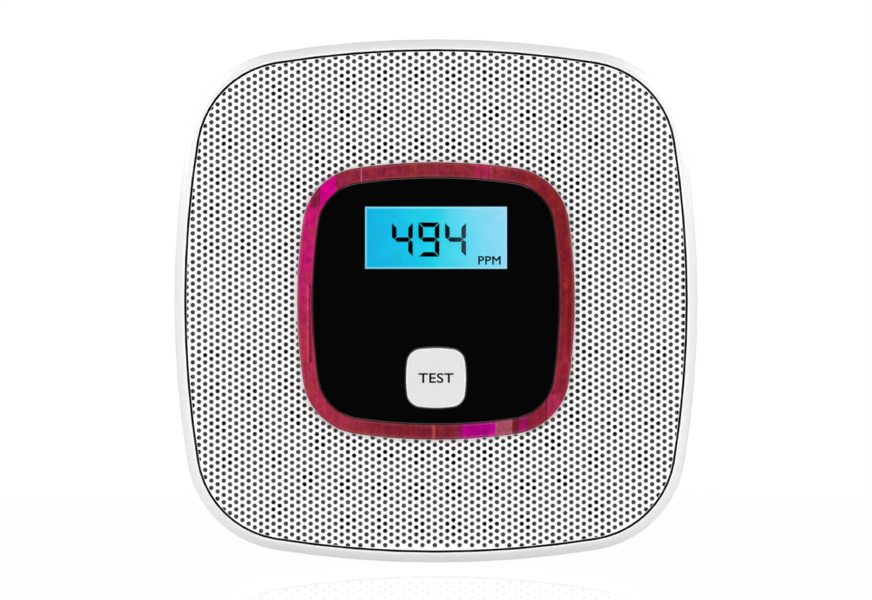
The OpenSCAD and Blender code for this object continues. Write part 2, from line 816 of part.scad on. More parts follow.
module speaker_magnet() {
    color("slategray") upright() translate([sounder_x, 0, 0]) rotate_extrude() polygon([
        [0, 27], [4.8, 27], [5.2, 27.4], [5.2, 29.6], [4.4, 29.6],
        [4.4, 30.3], [3.6, 30.3], [3.6, 28.2], [0, 28.2],
    ]);
}

// Routes of the speaker's and the siren's lead pairs, each [x, z]
speaker_route = [
    [36.8, 28.6], [34.6, 27.9], [32.6, 27.9], [30.2, 28.6], [27.8, 29.9], [26.2, 29.7], [26, 27.4],
];
siren_route = [
    [39, 24.9], [38.3, 23.8], [36.2, 23.2], [33.4, 23.5], [31.6, 25.6],
    [30.2, 28.4], [28, 29.9], [26.2, 29.7], [26, 27.4],
];

module lead_pair(side, color_name, route) {
    color(color_name) upright() for (j = [-1, 1])
        tube(smooth_route([for (p = route) [side * p[0], j * 1.25, p[1]]]), 1, [0, 1, 0]);
}

module speaker_wires() {
    lead_pair(1, "firebrick", speaker_route);
}

module siren_wires() {
    lead_pair(-1, "firebrick", siren_route);
}

red_route = [
    [-14.75, 28.9, 11.7], [-14.75, 31, 12], [-15.4, 33.6, 14],
    [-17, 35.6, 17], [-18.6, 36, 20], [-19, 36, 22.9],
];
black_route = [
    [14.75, -31.3, 11.7], [14.75, -33.4, 12], [15.2, -36, 14],
    [16.2, -38, 17], [17, -38.6, 20], [17.2, -38.6, 22.9],
];

module battery_wire_red() {
    color("red") upright() tube(smooth_route(red_route), 1.3, [1, 0, 0]);
}

module battery_wire_black() {
    color("black") upright() tube(smooth_route(black_route), 1.3, [1, 0, 0]);
}

// ---------------------------------------------------------------- batteries

// Cell in place k, from the left. up is 1 where its positive end is at the top
module cell(k, up) {
    stand_off = plate_metal + dimple_h + 0.02;
    positive_y = up > 0 ? bay_top - stand_off : bay_bottom + stand_off;
    translate([(k - 1) * cell_pitch, positive_y, cell_z]) rotate([up * 90, 0, 0]) rotate_extrude() polygon([
        [0, 0], [2.3, 0], [2.7, 0.4], [2.7, nub_l], [6.3, nub_l], [6.6, nub_l + 0.25],
        [cell_d / 2, nub_l + 0.8], [cell_d / 2, cell_l - 0.7],
        [6.6, cell_l - 0.1], [5.2, cell_l], [0, cell_l],
    ]);
}

module battery_cell_1() {
    color("goldenrod") upright() cell(0, 1);
}

module battery_cell_2() {
    color("goldenrod") upright() cell(1, -1);
}

module battery_cell_3() {
    color("goldenrod") upright() cell(2, 1);
}

// A contact plate on the bay's top (side 1) or bottom (side -1) wall
module contact_plate(side, x0, x1, dimple_x) {
    wall_y = side > 0 ? bay_top - 0.02 : bay_bottom + 0.02;
    inner_y = wall_y - side * plate_metal;
    block([x0, min(wall_y, inner_y), 7.6], [x1, max(wall_y, inner_y), 17.4]);
    translate([dimple_x, inner_y + side * 0.05, cell_z]) rotate([side * 90, 0, 0])
        cylinder(h = dimple_h, r1 = 2.2, r2 = 1.4);
}

// Solder tag through the bay's end wall
module solder_tag(side, x) {
    wall_y = side > 0 ? bay_top - 0.1 : bay_bottom + 0.1;
    end_y = wall_y + side * 2.6;
    block([x - 1.2, min(wall_y, end_y), 10.6], [x + 1.2, max(wall_y, end_y), 11]);
}

module positive_terminal() {
    color("silver") upright() {
        contact_plate(1, -cell_pitch - 5, -cell_pitch + 5, -cell_pitch);
        solder_tag(1, -cell_pitch);
    }
}

module negative_terminal() {
    color("silver") upright() {
        block([cell_pitch - 5, bay_bottom + 0.02, 7.6], [cell_pitch + 5, bay_bottom + plate_metal, 17.4]);
        solder_tag(-1, cell_pitch);
    }
}

module link_contacts() {
    color("silver") upright() {
        contact_plate(1, -5, cell_pitch + 5, cell_pitch);
        contact_plate(-1, -cell_pitch - 5, 5, 0);
    }
}

// A conical coil spring, wide at the plate and narrow under the cell
module contact_spring(side, x) {
    wire = 0.7;
    turns = 4;
    per_turn = 12;
    steps = turns * per_turn;
    base_y = (side > 0 ? bay_top : bay_bottom) - side * (plate_metal + 0.1 + wire / 2);
    rise = spring_l - 0.2 - wire;
    route = [
        for (i = [0:steps])
            let (t = i / steps, r = 4.6 - 1.6 * t, a = 360 * turns * t)
            [x + r * cos(a), base_y - side * rise * t, cell_z + r * sin(a)]
    ];
    tube(route, wire, [0, 1, 0], 6);
}

module battery_springs() {
    color("silver") upright() {
        contact_spring(-1, -cell_pitch);
        contact_spring(1, 0);
        contact_spring(-1, cell_pitch);
    }
}

// ---------------------------------------------------------------- fasteners

module case_screws() {
    color("silver") upright() four_corners(case_post, case_post)
        translate([0, 0, back_z + 5.1]) pan_screw(2.6, 1.85, 1.25, 12);
}

module pcb_screws() {
    color("silver") upright() four_corners(pcb_post.x, pcb_post.y)
        translate([0, 0, pcb_z - 1.35]) pan_screw(1.9, 1.3, 0.95, 6);
}

wall_bracket();
rear_housing();
front_cover();
front_grille();
light_ring();
display_panel();
lcd_window();
lcd_gasket();
lcd_front_glass();
lcd_rear_glass();
lcd_backlight();
lcd_connector();
display_chassis();
test_button();
tact_switch();
switch_plunger();
main_pcb();
mcu_chip();
voice_chip();
smd_parts();
electrolytic_caps();
ring_leds();
wire_connectors();
co_sensor();
sensor_filter();
sensor_seal();
siren_housing();
siren_base();
piezo_disc();
speaker_basket();
speaker_cone();
speaker_magnet();
speaker_wires();
siren_wires();
battery_wire_red();
battery_wire_black();
battery_cell_1();
battery_cell_2();
battery_cell_3();
positive_terminal();
negative_terminal();
link_contacts();
battery_springs();
battery_door();
case_screws();
pcb_screws();
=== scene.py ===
import json
import math

import bmesh
import bpy
from mathutils import Matrix, Vector


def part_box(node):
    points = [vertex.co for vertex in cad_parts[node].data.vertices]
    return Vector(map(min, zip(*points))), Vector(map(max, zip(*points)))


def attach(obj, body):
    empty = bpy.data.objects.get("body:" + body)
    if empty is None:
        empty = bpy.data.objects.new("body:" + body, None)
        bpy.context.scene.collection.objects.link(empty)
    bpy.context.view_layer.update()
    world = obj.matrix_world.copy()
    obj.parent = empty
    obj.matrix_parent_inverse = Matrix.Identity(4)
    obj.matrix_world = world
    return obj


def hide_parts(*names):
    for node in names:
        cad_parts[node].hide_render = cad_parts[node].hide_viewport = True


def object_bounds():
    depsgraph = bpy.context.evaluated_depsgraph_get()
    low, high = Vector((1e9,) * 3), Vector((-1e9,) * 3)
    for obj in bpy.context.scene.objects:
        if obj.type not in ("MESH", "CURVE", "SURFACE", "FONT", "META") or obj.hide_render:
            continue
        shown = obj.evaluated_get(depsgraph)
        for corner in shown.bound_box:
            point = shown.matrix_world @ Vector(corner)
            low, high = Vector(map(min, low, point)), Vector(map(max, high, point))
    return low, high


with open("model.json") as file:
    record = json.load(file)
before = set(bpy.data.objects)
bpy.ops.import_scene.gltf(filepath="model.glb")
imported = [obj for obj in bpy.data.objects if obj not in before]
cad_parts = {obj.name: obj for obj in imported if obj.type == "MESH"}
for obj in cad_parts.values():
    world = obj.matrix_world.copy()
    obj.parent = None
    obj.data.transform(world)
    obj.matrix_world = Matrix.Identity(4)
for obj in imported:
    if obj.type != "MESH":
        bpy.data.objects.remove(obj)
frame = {"nodes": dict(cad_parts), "record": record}
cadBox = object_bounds()
mm = 0.001
stand = Matrix.Rotation(math.radians(90), 4, "X")    # pieces are drawn on their backs, then stood up


# shader maths

class Wire:
    # a shader socket that sums and products can be written with
    def __init__(self, finish, socket):
        self.finish = finish
        self.socket = socket

    def __add__(self, other):
        return self.finish.math("ADD", self, other)

    def __radd__(self, other):
        return self.finish.math("ADD", other, self)

    def __sub__(self, other):
        return self.finish.math("SUBTRACT", self, other)

    def __rsub__(self, other):
        return self.finish.math("SUBTRACT", other, self)

    def __mul__(self, other):
        return self.finish.math("MULTIPLY", self, other)

    def __rmul__(self, other):
        return self.finish.math("MULTIPLY", other, self)

    def __truediv__(self, other):
        return self.finish.math("DIVIDE", self, other)


class Nodes:
    # a node tree that expressions on wires add their nodes to
    def __init__(self, owner):
        owner.use_nodes = True
        self.tree = owner.node_tree

    def node(self, kind, settings=None, inputs=None, output=0):
        made = self.tree.nodes.new(kind)
        for key, value in (settings or {}).items():
            if key == "stops":
                while len(made.color_ramp.elements) < len(value):
                    made.color_ramp.elements.new(1)
                for element, (place, colour) in zip(made.color_ramp.elements, value):
                    element.position = place
                    element.color = colour
            elif key == "interpolation":
                made.color_ramp.interpolation = value
            else:
                setattr(made, key, value)
        for key, value in (inputs or {}).items():
            if isinstance(value, Wire):
                self.tree.links.new(value.socket, made.inputs[key])
            else:
                made.inputs[key].default_value = value
        return Wire(self, made.outputs[output])

    def math(self, operation, first, second=0.0):
        return self.node("ShaderNodeMath", {"operation": operation}, {0: first, 1: second})

    def place(self):
        return self.node("ShaderNodeTexCoord", output="Object")

    def axes(self):
        # the x, y and z of the place, each as its own wire
        split = self.node("ShaderNodeSeparateXYZ", None, {0: self.place()})
        return [Wire(self, out) for out in split.socket.node.outputs]

    def splitRound(self):
        # u and v of the map that follows the piece round
        found = self.node("ShaderNodeUVMap", {"uv_map": "round"})
        split = self.node("ShaderNodeSeparateXYZ", None, {0: found})
        return [Wire(self, split.socket.node.outputs[axis]) for axis in (0, 1)]

    def rampRound(self, turn, stops):
        # a ramp whose stops are in degrees of a full turn
        return self.ramp(self.math("FRACT", turn), [(angle / 360, colour) for angle, colour in stops])

    def factorColour(self, factor):
        # a grey to multiply a colour with
        return self.node("ShaderNodeCombineColor", None, {0: factor, 1: factor, 2: factor})

    def noise(self, scale, detail=3.0, roughness=0.5, vector=None):
        return self.node("ShaderNodeTexNoise", None, {
            "Vector": vector or self.place(), "Scale": scale, "Detail": detail, "Roughness": roughness})

    def ramp(self, factor, stops, interpolation="LINEAR"):
        # a colour's fourth value is how strongly it covers what lies under it
        stops = [(place, colour if len(colour) == 4 else (*colour, 1)) for place, colour in stops]
        return self.node("ShaderNodeValToRGB", {"stops": stops, "interpolation": interpolation}, {0: factor})

    def limits(self, value, low, high, outLow=0.0, outHigh=1.0):
        # value from low..high carried to outLow..outHigh and held at the ends
        return self.node("ShaderNodeMapRange", {"interpolation_type": "SMOOTHSTEP"}, {
            0: value, 1: low, 2: high, 3: outLow, 4: outHigh})

    def mix(self, factor, first, second, blend="MIX"):
        return self.node("ShaderNodeMix", {"data_type": "RGBA", "blend_type": blend}, {
            0: factor, 6: first, 7: second}, output=2)


class Finish(Nodes):
    # one material, whose constants go straight to the Principled shader
    def __init__(self, name, **constants):
        self.material = bpy.data.materials.new(name)
        super().__init__(self.material)
        self.shader = self.tree.nodes["Principled BSDF"]
        for socket, value in constants.items():
            self.shader.inputs[socket.replace("_", " ")].default_value = value

    def feed(self, socket, wire):
        self.tree.links.new(wire.socket, self.shader.inputs[socket])

    def tint(self):
        # what feeds the base colour so far
        return Wire(self, self.shader.inputs["Base Color"].links[0].from_socket)

    def bump(self, height, depth):
        self.feed("Normal", self.node("ShaderNodeBump", None, {"Distance": depth, "Height": height}))


def paint(node, finish):
    # a carried-over part keeps its mesh and gets its finish
    frame["nodes"][node].data.materials[0] = finish.material


def grey(level):
    return (level, level, level, 1.0)


def shade(colour, factor):
    return (*(min(1.0, c * factor) for c in colour[:3]), 1.0)


# finishes

def plasticFinish(name, colour, roughness, grain=0.012, grainSize=0.22, drift=0.03, marking=0.06,
                  **constants):
    # moulded plastic: spark-eroded grain, slow drifts of tone, and handling marks in the gloss; grain in mm
    finish = Finish(name, **constants)
    drifting = finish.noise(28.0, 4.0, 0.55)
    finish.feed("Base Color", finish.mix(drifting, shade(colour, 1 - drift), shade(colour, 1 + drift * 0.5)))
    marks = finish.noise(160.0, 5.0, 0.6)
    finish.feed("Roughness", finish.limits(marks, 0.3, 0.7, roughness - marking, roughness + marking))
    fine = finish.noise(1 / (grainSize * mm), 2.0, 0.6)
    broad = finish.noise(60.0, 2.0, 0.5)
    finish.bump(fine + broad * 2.0, grain * mm)
    return finish


def metalFinish(name, colour, roughness=0.3, brushing=(1, 1, 1)):
    # plated metal: fine brushing along one axis and a little tarnish
    finish = Finish(name, Metallic=1.0)
    stretch = finish.node("ShaderNodeMapping", None, {"Vector": finish.place(), "Scale": brushing})
    lines = finish.noise(2600.0, 3.0, 0.6, stretch)
    tarnish = finish.noise(140.0, 4.0, 0.6)
    finish.feed("Base Color", finish.mix(tarnish, shade(colour, 0.82), shade(colour, 1.06)))
    finish.feed("Roughness", finish.limits(lines, 0.3, 0.7, roughness - 0.08, roughness + 0.12))
    finish.bump(lines, 0.006 * mm)
    return finish


def rubberFinish(name, colour, roughness=0.7, cell=0.35, depth=0.04):
    # rubber, foam or wire insulation, pitted by its cells
    finish = Finish(name)
    cells = finish.node("ShaderNodeTexVoronoi", None, {"Vector": finish.place(), "Scale": 1 / (cell * mm)})
    drifting = finish.noise(300.0, 3.0)
    finish.feed("Base Color", finish.mix(drifting, shade(colour, 0.8), shade(colour, 1.15)))
    finish.feed("Roughness", finish.limits(drifting, 0.3, 0.7, roughness - 0.08, roughness + 0.08))
    finish.bump(cells, depth * mm)
    return finish


def paperFinish(name, colour):
    # pressed fibres
    finish = Finish(name, Roughness=0.9)
    along = finish.node("ShaderNodeMapping", None, {"Vector": finish.place(), "Scale": (1, 1, 0.2)})
    fibres = finish.noise(3000.0, 5.0, 0.7, along)
    finish.feed("Base Color", finish.mix(fibres, shade(colour, 0.75), shade(colour, 1.1)))
    finish.bump(fibres, 0.03 * mm)
    return finish


def boardFinish():
    # green solder mask over copper tracks
    finish = Finish("solderMask", Roughness=0.28)
    tracks = finish.node("ShaderNodeTexBrick", {"offset": 0.35, "squash": 0.6}, {
        "Vector": finish.node("ShaderNodeMapping", None, {
            "Vector": finish.place(), "Rotation": (math.radians(90), 0, 0)}),
        "Scale": 260.0, "Mortar Size": 0.06, "Mortar Smooth": 0.2,
        "Color1": grey(0.0), "Color2": grey(0.15), "Mortar": grey(1.0)})
    patches = finish.noise(90.0, 2.0)
    copper = finish.limits(patches, 0.45, 0.55) * 0.6
    track = finish.mix(tracks, (0.006, 0.07, 0.03, 1), (0.03, 0.2, 0.08, 1))
    finish.feed("Base Color", finish.mix(copper, track, (0.02, 0.13, 0.055, 1)))
    finish.bump(tracks, 0.03 * mm)
    return finish


def blackPanelFinish():
    # piano black: nearly no grain, only faint wipe marks in the gloss
    finish = Finish("pianoBlack", Coat_Weight=0.6, Coat_Roughness=0.03)
    wipes = finish.noise(70.0, 6.0, 0.65)
    finish.feed("Base Color", finish.mix(wipes, grey(0.0012), grey(0.0022)))
    finish.feed("Roughness", finish.limits(wipes, 0.35, 0.75, 0.03, 0.08))
    finish.bump(finish.noise(45.0, 1.0), 0.001 * mm)
    return finish


print("finishes ready")


# shapes

bridgeRoom = 50 * mm    # how far loops are parted while they are bridged
mergeRoom = 0.001 * mm    # points closer than this are one


def cornerCentre(half, sideR, cornerR):
    # where the corner arcs' centres lie when they run tangent into the side arcs
    return (half - sideR + math.sqrt(2 * (sideR - cornerR) ** 2 - (sideR - half) ** 2)) / 2


def pillowLoop(bm, shape, inset=0.0, depth=0.0, sideSteps=10, cornerSteps=16, centre=(0, 0)):
    # a closed loop of edges: a circle drawn out into a square with bulging sides and round corners
    half, sideR, cornerR = (shape[key] - inset for key in ("half", "sideR", "cornerR"))
    k = cornerCentre(half, sideR, cornerR)
    turn = math.atan2(k, k + sideR - half)
    steps = sideSteps + cornerSteps
    verts = bmesh.ops.create_circle(bm, cap_ends=False, segments=4 * steps, radius=half)["verts"]
    for place, vert in enumerate(verts):
        quarter, step = divmod(place, steps)
        if step < sideSteps:
            pivot, radius, angle = (half - sideR, 0), sideR, turn * (2 * step / sideSteps - 1)
        else:
            pivot, radius = (k, k), cornerR
            angle = turn + (math.pi / 2 - 2 * turn) * (step - sideSteps) / cornerSteps
        point = Vector(pivot) + radius * Vector((math.cos(angle), math.sin(angle)))
        turned = Matrix.Rotation(math.radians(90 * quarter), 3, "Z") @ point.to_3d()
        vert.co = Vector((*centre, depth)) + turned
    return loopEdges(verts)


def loopEdges(verts):
    return [edge for vert in verts for edge in vert.link_edges if edge.verts[0] == vert]


def boxLoop(bm, centre, width, height):
    # a closed rectangle of edges
    made = bmesh.ops.create_circle(bm, cap_ends=False, segments=4, radius=math.sqrt(0.5),
                                   matrix=Matrix.Rotation(math.radians(45), 4, "Z"))
    bmesh.ops.transform(bm, verts=made["verts"], matrix=Matrix.Translation((*centre, 0))
                        @ Matrix.Diagonal((width, height, 1, 1)))
    return loopEdges(made["verts"])


def loft(bm, loops, closed=False):
    # walls from loop to loop, and back to the first if closed
    pairs = list(zip(loops, loops[1:])) + ([(loops[-1], loops[0])] if closed else [])
    for lower, upper in pairs:
        # the two are parted while they are bridged, because level loops can be joined crosswise
        verts = list({vert for edge in upper for vert in edge.verts})
        bmesh.ops.translate(bm, verts=verts, vec=(0, 0, bridgeRoom))
        bmesh.ops.bridge_loops(bm, edges=lower + upper)
        bmesh.ops.translate(bm, verts=verts, vec=(0, 0, -bridgeRoom))


def capLoop(bm, loop):
    bmesh.ops.contextual_create(bm, geom=loop)


def thicken(bm, faces, thickness):
    raised = bmesh.ops.extrude_face_region(bm, geom=faces, use_keep_orig=True)
    verts = [item for item in raised["geom"] if isinstance(item, bmesh.types.BMVert)]
    bmesh.ops.translate(bm, verts=verts, vec=(0, 0, thickness))


def plate(bm, loops, thickness):
    # fills flat loops, holes left open, and gives the sheet its thickness
    filled = bmesh.ops.triangle_fill(bm, use_beauty=True, use_dissolve=False,
                                     edges=[edge for loop in loops for edge in loop])
    faces = [item for item in filled["geom"] if isinstance(item, bmesh.types.BMFace)]
    thicken(bm, faces, thickness)


def softenFront(bm, depth, offset, least=35.0):
    # rounds the edges that lie flat at one depth and turn by more than so many degrees
    edges = [edge for edge in bm.edges
             if all(abs(v.co.z - depth) < mergeRoom for v in edge.verts)
             and len(edge.link_faces) == 2 and math.degrees(edge.calc_face_angle(0)) > least]
    bmesh.ops.bevel(bm, geom=edges, offset=offset, offset_type="OFFSET", affect="EDGES",
                    segments=3, profile=0.5, material=-1, clamp_overlap=True)


def finishPiece(name, bm, body, look, slot, replaced=(), smoothAngle=34.0, standing=True, outward=True):
    # the bmesh becomes a piece in its place, riding on its body
    if standing:
        bmesh.ops.transform(bm, verts=bm.verts, matrix=stand)
    if outward:
        bmesh.ops.recalc_face_normals(bm, faces=bm.faces)
    mesh = bpy.data.meshes.new(name)
    bm.to_mesh(mesh)
    bm.free()
    mesh.shade_smooth()
    mesh.set_sharp_from_angle(angle=math.radians(smoothAngle))
    piece = bpy.data.objects.new(name, mesh)
    bpy.context.scene.collection.objects.link(piece)
    mesh.materials.append(look.material)
    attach(piece, body)
    if replaced:
        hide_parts(*replaced)
    return piece


def bodyOf(node):
    bodies = frame["record"]["behaviour"]["bodies"]
    return next(body for body, members in bodies.items() if node in members)


def slotOf(node):
    parts = frame["record"]["subparts"]
    return next(part["material_slot"] for part in parts if part["node"] == node)


def mergedCopy(node):
    # a carried-over part's own triangles, merged so that its curves can shade smoothly
    bm = bmesh.new()
    bm.from_mesh(frame["nodes"][node].data)
    bmesh.ops.remove_doubles(bm, verts=bm.verts, dist=mergeRoom)
    return bm


def smoothCopy(node, look, bm=None):
    words = node.split("_")
    name = words[0] + "".join(word.capitalize() for word in words[1:])
    return finishPiece(name, bm or mergedCopy(node), bodyOf(node), look, slotOf(node), [node],
                       standing=False, outward=False)


def depthRange(node):
    # how far a node's back and front stand out from the wall
    low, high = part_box(node)
    return -high.y, -low.y


def faceCentre(node):
    low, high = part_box(node)
    return (low.x + high.x) / 2, (low.z + high.z) / 2


def pillowDistance(x, y, shape):
    # how far a point lies outside a pillow outline (negative inside), and the way out from it
    half, sideR, cornerR = (shape[key] for key in ("half", "sideR", "cornerR"))
    k = cornerCentre(half, sideR, cornerR)
    turned = abs(y) > abs(x)
    a, b = (abs(y), abs(x)) if turned else (abs(x), abs(y))
    onSide = math.atan2(b, a + sideR - half) <= math.atan2(k, k + sideR - half)
    out = Vector((a + sideR - half, b)) if onSide else Vector((a - k, b - k))
    distance = out.length - (sideR if onSide else cornerR)
    out = out.normalized() if out.length else Vector((1, 0))
    across, up = (out.y, out.x) if turned else (out.x, out.y)
    return distance, Vector((math.copysign(across, x), math.copysign(up, y), 0))


def pillow(half, sideR, cornerR):
    # half the width, and the radii of the sides and of the corners, in mm
    return {"half": half * mm, "sideR": sideR * mm, "cornerR": cornerR * mm}


# the outlines of the case, of the perforated sheet inside its rim, of the light ring and of the button
rimWidth = cadBox[1].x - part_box("front_grille")[1].x
caseShape = pillow(55, 213, 22.2)
sheetShape = {key: value - rimWidth for key, value in caseShape.items()}
ringShape = pillow(29.0, 116.0, 12.9)
buttonShape = pillow(6.25, 25, 2.9)
buttonSteps = (8, 10)    # facets along a side and round a corner


# case

rearForm = {"bend": 12, "round": 5, "steepest": 17}    # depth in mm, inset in mm, degrees
# the three tones after the roughness are painted shade: grey for the recess floor behind the perforations,
# darker for the ledge by the ring, black for the gap round the sheet
caseLook = {"white": 0.88, "roughness": 0.34, "recessTone": 0.3, "ledgeTone": 0.14, "gapTone": 0.003}
# how far the painted shade reaches: out under the rim, below and above the sheet's back, and out from the
# ring
recessSize = {"rim": 0.6, "below": 1.0, "above": 0.1, "ledge": 1.3}    # mm


def coverFinish():
    # white plastic, with painted shade: grey on the recess floor behind the perforations, darker on the ledge
    # by the ring, and black in the gap round them
    finish = plasticFinish("caseWhite", grey(caseLook["white"]), caseLook["roughness"])
    tone = finish.tint()
    # painted shade: each marked zone is darkened to its own grey
    for name in ("recess", "ledge", "gap"):
        mask = finish.node("ShaderNodeAttribute", {"attribute_name": name}, output="Fac")
        tone = finish.mix(finish.limits(mask, 0.02, 0.2), tone, grey(caseLook[name + "Tone"]))
    finish.feed("Base Color", tone)
    return finish


def makeCover():
    bm = mergedCopy("front_cover")
    floor = depthRange("front_grille")[0]
    rim, below, above, ledgeWidth = (size * mm for size in recessSize.values())
    # mark the vertices that get painted shade: the recess floor, the ledge by the ring, and the gap round the
    # sheet
    recess, ledge, gap = (bm.verts.layers.float.new(name) for name in ("recess", "ledge", "gap"))
    for vert in bm.verts:
        inside = -pillowDistance(vert.co.x, vert.co.z, caseShape)[0]
        if inside > rimWidth - rim and floor - below < -vert.co.y < floor + above:
            fromRing = pillowDistance(vert.co.x, vert.co.z, ringShape)[0]
            vert[recess] = 1.0
            vert[ledge] = 1.0 if fromRing < ledgeWidth else 0.0
            vert[gap] = 1.0 if inside < rimWidth else 0.0
    smoothCopy("front_cover", coverFinish(), bm)


def shadeRear(piece):
    # the back's rounded edge shades as one smooth curve, also round the screw wells and across the door
    mesh = piece.data
    bend, inset = rearForm["bend"] * mm, rearForm["round"] * mm
    deep = bend - depthRange("rear_housing")[0]
    steepest = math.radians(rearForm["steepest"])
    normals = []
    for face in mesh.polygons:
        for corner in face.loop_indices:
            point = mesh.vertices[mesh.loops[corner].vertex_index].co
            rise = min(max((bend + point.y) / deep, 0.0), 1.0)
            way = pillowDistance(point.x, point.z, caseShape)[1] * (math.sqrt(1 - rise * rise) / inset)
            smooth = Vector((way.x, rise / deep, way.y)).normalized()
            normals.append(smooth if face.normal.angle(smooth, math.pi) < steepest
                           else mesh.corner_normals[corner].vector.copy())
    mesh.normals_split_custom_set(normals)


mouldWhite = plasticFinish("mouldedWhite", grey(caseLook["white"] - 0.01), 0.4)
makeCover()
shadeRear(smoothCopy("rear_housing", mouldWhite))
shadeRear(smoothCopy("battery_door", mouldWhite))
paint("wall_bracket", plasticFinish("bracketWhite", grey(0.82), 0.5, 0.02))
print("case done")


# perforated grille

grilleSize = {"pitch": 1.5, "hole": 1.0, "sides": 10, "startX": -0.24, "startY": 1.38, "hem": 0.06,
              "least": 0.3, "ringGap": 0.05}    # mm


def grilleFinish():
    # satin paint with a trace of orange peel
    finish = Finish("grillePaint")
    peel = finish.noise(1800.0, 2.0)
    clouds = finish.noise(22.0, 3.0)
    finish.feed("Base Color", finish.mix(clouds, grey(0.9), grey(0.93)))
    finish.feed("Roughness", finish.limits(peel, 0.3, 0.7, 0.38, 0.5))
    finish.bump(peel, 0.006 * mm)
    return finish


def copyAlong(bm, step, times):
    # repeats everything in the bmesh at equal steps
    bmesh.ops.spin(bm, geom=bm.verts[:] + bm.edges[:], cent=(0, 0, 0), axis=(0, 0, 1), dvec=step,
                   angle=0.0, steps=times, use_duplicate=True)


def makeGrille():
    pitch, hole, hem, least, ringGap = (grilleSize[key] * mm for key in (
        "pitch", "hole", "hem", "least", "ringGap"))
    radius = hole / 2
    column = pitch * math.cos(math.radians(30))
    middle = Vector((grilleSize["startX"], grilleSize["startY"], 0)) * mm
    opening = {key: value + ringGap for key, value in ringShape.items()}
    pairs = int(sheetShape["half"] / (2 * column)) + 1
    rows = int(sheetShape["half"] / pitch) + 1
    start = Vector((-2 * pairs * column, -rows * pitch, 0))
    bm = bmesh.new()
    bmesh.ops.create_circle(bm, cap_ends=False, segments=grilleSize["sides"], radius=radius,
                            matrix=Matrix.Translation(middle + start))
    copyAlong(bm, (0, pitch, 0), 2 * rows)
    copyAlong(bm, (column, pitch / 2, 0), 1)
    copyAlong(bm, (2 * column, 0, 0), 2 * pairs)

    def holeAt(i, j):
        return middle + Vector((i * column, (j + 0.5 * (i % 2)) * pitch, 0))

    def roomAt(x, y):
        # distance from a hole's centre to the nearer of the sheet's two edges, and the way to that edge
        toRim, rimWay = pillowDistance(x, y, sheetShape)
        toRing, ringWay = pillowDistance(x, y, opening)
        return (-toRim - hem, rimWay) if -toRim < toRing else (toRing - hem, -ringWay)

    places = {}
    dropped = []
    for vert in bm.verts:
        i = round((vert.co.x - middle.x) / column)
        j = round((vert.co.y - middle.y) / pitch - 0.5 * (i % 2))
        if (i, j) not in places:
            places[i, j] = roomAt(*holeAt(i, j).xy)
        if places[i, j][0] < radius:
            dropped.append(vert)
    bmesh.ops.delete(bm, geom=dropped, context="VERTS")
    cut = bmesh.new()
    for (i, j), (room, way) in places.items():
        # a hole on the sheet's edge is cut off straight, a hair inside it
        if least - radius < room < radius:
            centre = holeAt(i, j)
            disc = bmesh.ops.create_circle(cut, cap_ends=True, segments=grilleSize["sides"], radius=radius,
                                           matrix=Matrix.Translation(centre))["verts"]
            edges = {edge for vert in disc for edge in vert.link_edges}
            faces = {face for vert in disc for face in vert.link_faces}
            bmesh.ops.bisect_plane(cut, geom=[*disc, *edges, *faces], dist=mergeRoom,
                                   plane_co=centre + way * room, plane_no=way, clear_outer=True)
    bmesh.ops.delete(cut, geom=cut.faces[:], context="FACES_ONLY")
    cutMesh = bpy.data.meshes.new("cutHoles")
    cut.to_mesh(cutMesh)
    cut.free()
    bm.from_mesh(cutMesh)
    bpy.data.meshes.remove(cutMesh)
    pillowLoop(bm, sheetShape)
    pillowLoop(bm, opening)
    back, front = depthRange("front_grille")
    plate(bm, [bm.edges[:]], front - back)
    bmesh.ops.translate(bm, verts=bm.verts, vec=(0, 0, back))
    finishPiece("perforatedGrille", bm, "alarm", grilleFinish(), "grille_white", ["front_grille"], 30.0)


makeGrille()
print("grille done")


# light ring

ringLook = {"band": 3.15, "crown": 0.3, "arch": 0.6, "lip": 0.3, "flange": 2, "flangeThick": 1.4,
            "shelf": 1.75, "shelfThick": 1.5, "shelfGap": 0.1, "wall": 0.45,    # to here in mm
            "fullness": 0.3, "glow": 0.12}    # the lower the fullness, the squarer the crown
ringSteps = (12, 20)    # facets along a side and round a corner
# the body colour round the ring, in degrees from the right
ringTones = [
    (0, (0.19, 0.011, 0.017)), (40, (0.19, 0.012, 0.018)), (62, (0.24, 0.018, 0.032)),
    (95, (0.23, 0.019, 0.032)), (125, (0.23, 0.017, 0.04)), (147, (0.48, 0.006, 0.14)),
    (172, (0.42, 0.012, 0.11)), (195, (0.38, 0.022, 0.07)), (225, (0.33, 0.024, 0.055)),
    (250, (0.19, 0.014, 0.025)), (275, (0.18, 0.014, 0.024)), (310, (0.24, 0.014, 0.035)),
    (335, (0.24, 0.013, 0.03)), (360, (0.19, 0.011, 0.017)),
]
bare = (0, 0, 0, 0)
